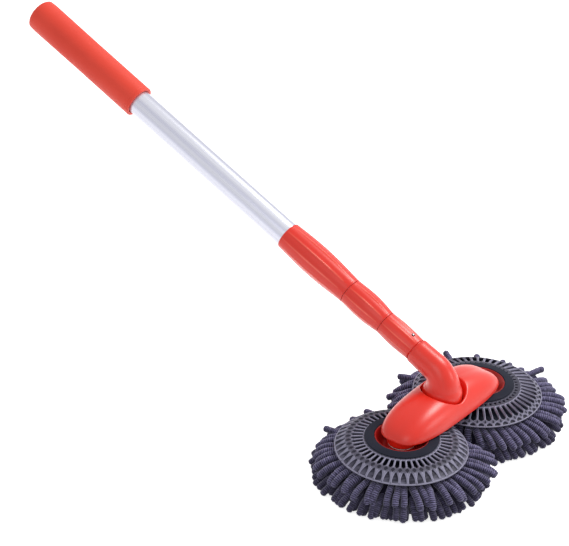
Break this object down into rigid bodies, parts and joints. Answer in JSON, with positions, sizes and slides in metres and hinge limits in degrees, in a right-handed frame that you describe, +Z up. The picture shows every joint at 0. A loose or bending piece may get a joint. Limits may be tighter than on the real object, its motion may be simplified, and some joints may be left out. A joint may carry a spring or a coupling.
{
  "type": "car wash brush",
  "caption": "Telescopic car wash mop with twist-lock collars, a swivelling bent neck and round spinning chenille heads under a domed yoke.",
  "frame": {"origin": "on the floor, under the middle of the whole mop's box", "axes": "+Z up, X along the pole's plan direction with the grip towards -X, Y along the yoke"},
  "size_m": [0.6574, 0.3228, 0.3362],
  "materials": {
    "red_plastic": "satin red moulding",
    "grip_plastic": "matte red shell",
    "slate_plastic": "matte slate moulding",
    "grey_plastic": "satin grey moulding",
    "chenille": "chenille pile",
    "aluminium": "matt anodised",
    "steel": "plain",
    "black_plastic": "plain moulding"
  },
  "bodies": {
    "yoke": {"yoke_cover": "red_plastic", "yoke_base": "red_plastic", "yoke_screw_1": "steel", "yoke_screw_2": "steel", "front_thrust_washer": "steel", "front_retaining_washer": "steel", "front_spindle_screw": "steel", "back_thrust_washer": "steel", "back_retaining_washer": "steel", "back_spindle_screw": "steel"},
    "neck": {"neck": "red_plastic", "swivel_washer": "steel", "swivel_screw": "steel", "end_sleeve": "red_plastic", "sleeve_rivet": "steel", "inner_tube": "aluminium", "inner_tube_glide": "black_plastic"},
    "middle_stage": {"middle_tube": "aluminium", "middle_tube_glide": "black_plastic", "middle_lock_body": "black_plastic", "middle_clamp_ring": "black_plastic"},
    "middle_twist": {"middle_collar": "red_plastic"},
    "outer_stage": {"outer_tube": "aluminium", "grip": "grip_plastic", "outer_lock_body": "black_plastic", "outer_clamp_ring": "black_plastic"},
    "outer_twist": {"outer_collar": "red_plastic"},
    "front_head": {"front_hub": "red_plastic", "front_trim_ring": "slate_plastic", "front_skirt": "grey_plastic", "front_carrier": "slate_plastic", "front_pad": "chenille"},
    "back_head": {"back_hub": "red_plastic", "back_trim_ring": "slate_plastic", "back_skirt": "grey_plastic", "back_carrier": "slate_plastic", "back_pad": "chenille"}
  },
  "joints": [
    {"name": "neck_swivel", "type": "hinge", "parent": "yoke", "child": "neck", "pos_m": [0.23548, 0, 0.06], "axis": [0, 0, 1], "range_deg": [-90, 90]},
    {"name": "middle_slide", "type": "slide", "parent": "neck", "child": "middle_stage", "axis": [-0.9215, 0, 0.3883], "range_m": [0, 0.18]},
    {"name": "outer_slide", "type": "slide", "parent": "middle_stage", "child": "outer_stage", "axis": [-0.9215, 0, 0.3883], "range_m": [0, 0.18]},
    {"name": "middle_collar_twist", "type": "hinge", "parent": "middle_stage", "child": "middle_twist", "pos_m": [0.20028, 0, 0.10053], "axis": [-0.9215, 0, 0.3883], "range_deg": [0, 90]},
    {"name": "outer_collar_twist", "type": "hinge", "parent": "outer_stage", "child": "outer_twist", "pos_m": [0.20028, 0, 0.10053], "axis": [-0.9215, 0, 0.3883], "range_deg": [0, 90]},
    {"name": "front_head_spin", "type": "hinge", "parent": "yoke", "child": "front_head", "pos_m": [0.23548, -0.0682, 0.04], "axis": [0, 0, 1], "continuous": true, "deforming": ["front_pad", "back_pad"]},
    {"name": "back_head_spin", "type": "hinge", "parent": "yoke", "child": "back_head", "pos_m": [0.23548, 0.0682, 0.04], "axis": [0, 0, 1], "continuous": true, "deforming": ["front_pad", "back_pad"]}
  ]
}
